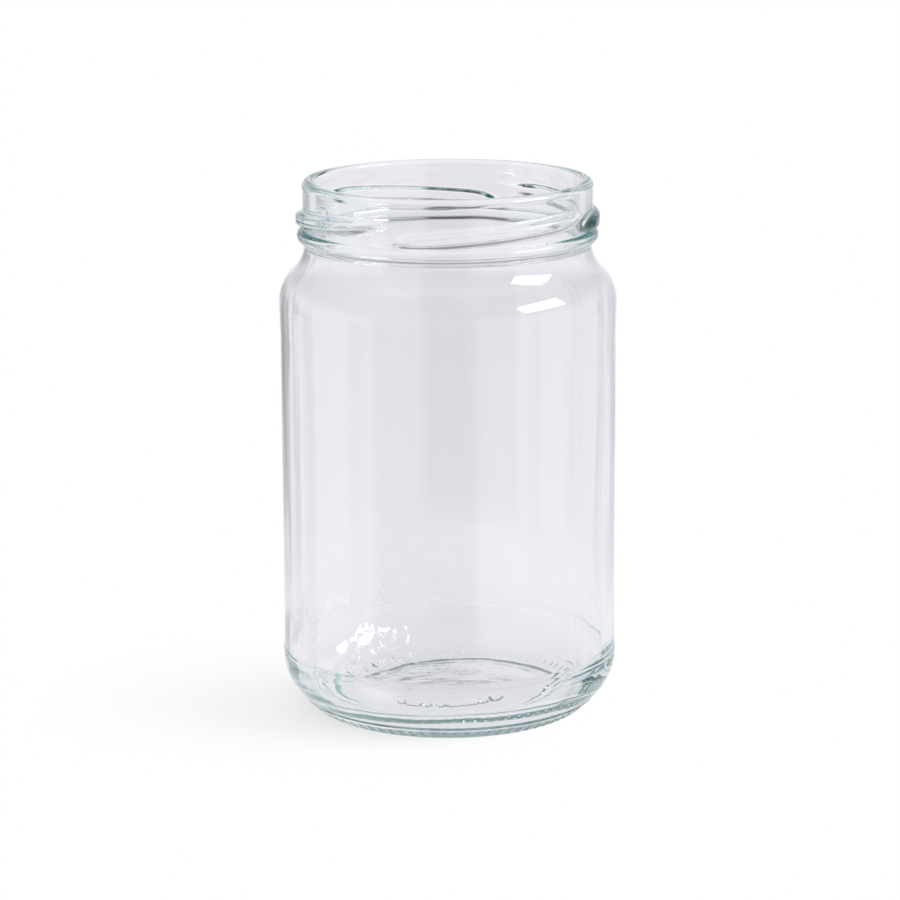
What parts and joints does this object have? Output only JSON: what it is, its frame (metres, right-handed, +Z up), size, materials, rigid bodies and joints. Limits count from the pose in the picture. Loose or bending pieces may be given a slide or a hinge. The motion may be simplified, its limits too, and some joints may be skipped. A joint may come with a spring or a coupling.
{
  "type": "glass jar",
  "caption": "Empty round clear glass jar without its lid: wide mouth, slanted lugs for a twist-off lid, transfer bead, rounded shoulder, recessed label panel and knurled push-up base.",
  "frame": {"origin": "centre of the ring that the jar stands on, on the surface it stands on", "axes": "+Z up along the jar's axis, through the middle of the mouth; the first lug's low end lies 65 degrees from +X towards +Y"},
  "size_m": [0.0724, 0.0724, 0.1154],
  "materials": {
    "glass": "clear fire-polished soda-lime glass with a faint green tint in its thick edges"
  },
  "bodies": {
    "root": {"jar": "glass"}
  },
  "joints": []
}
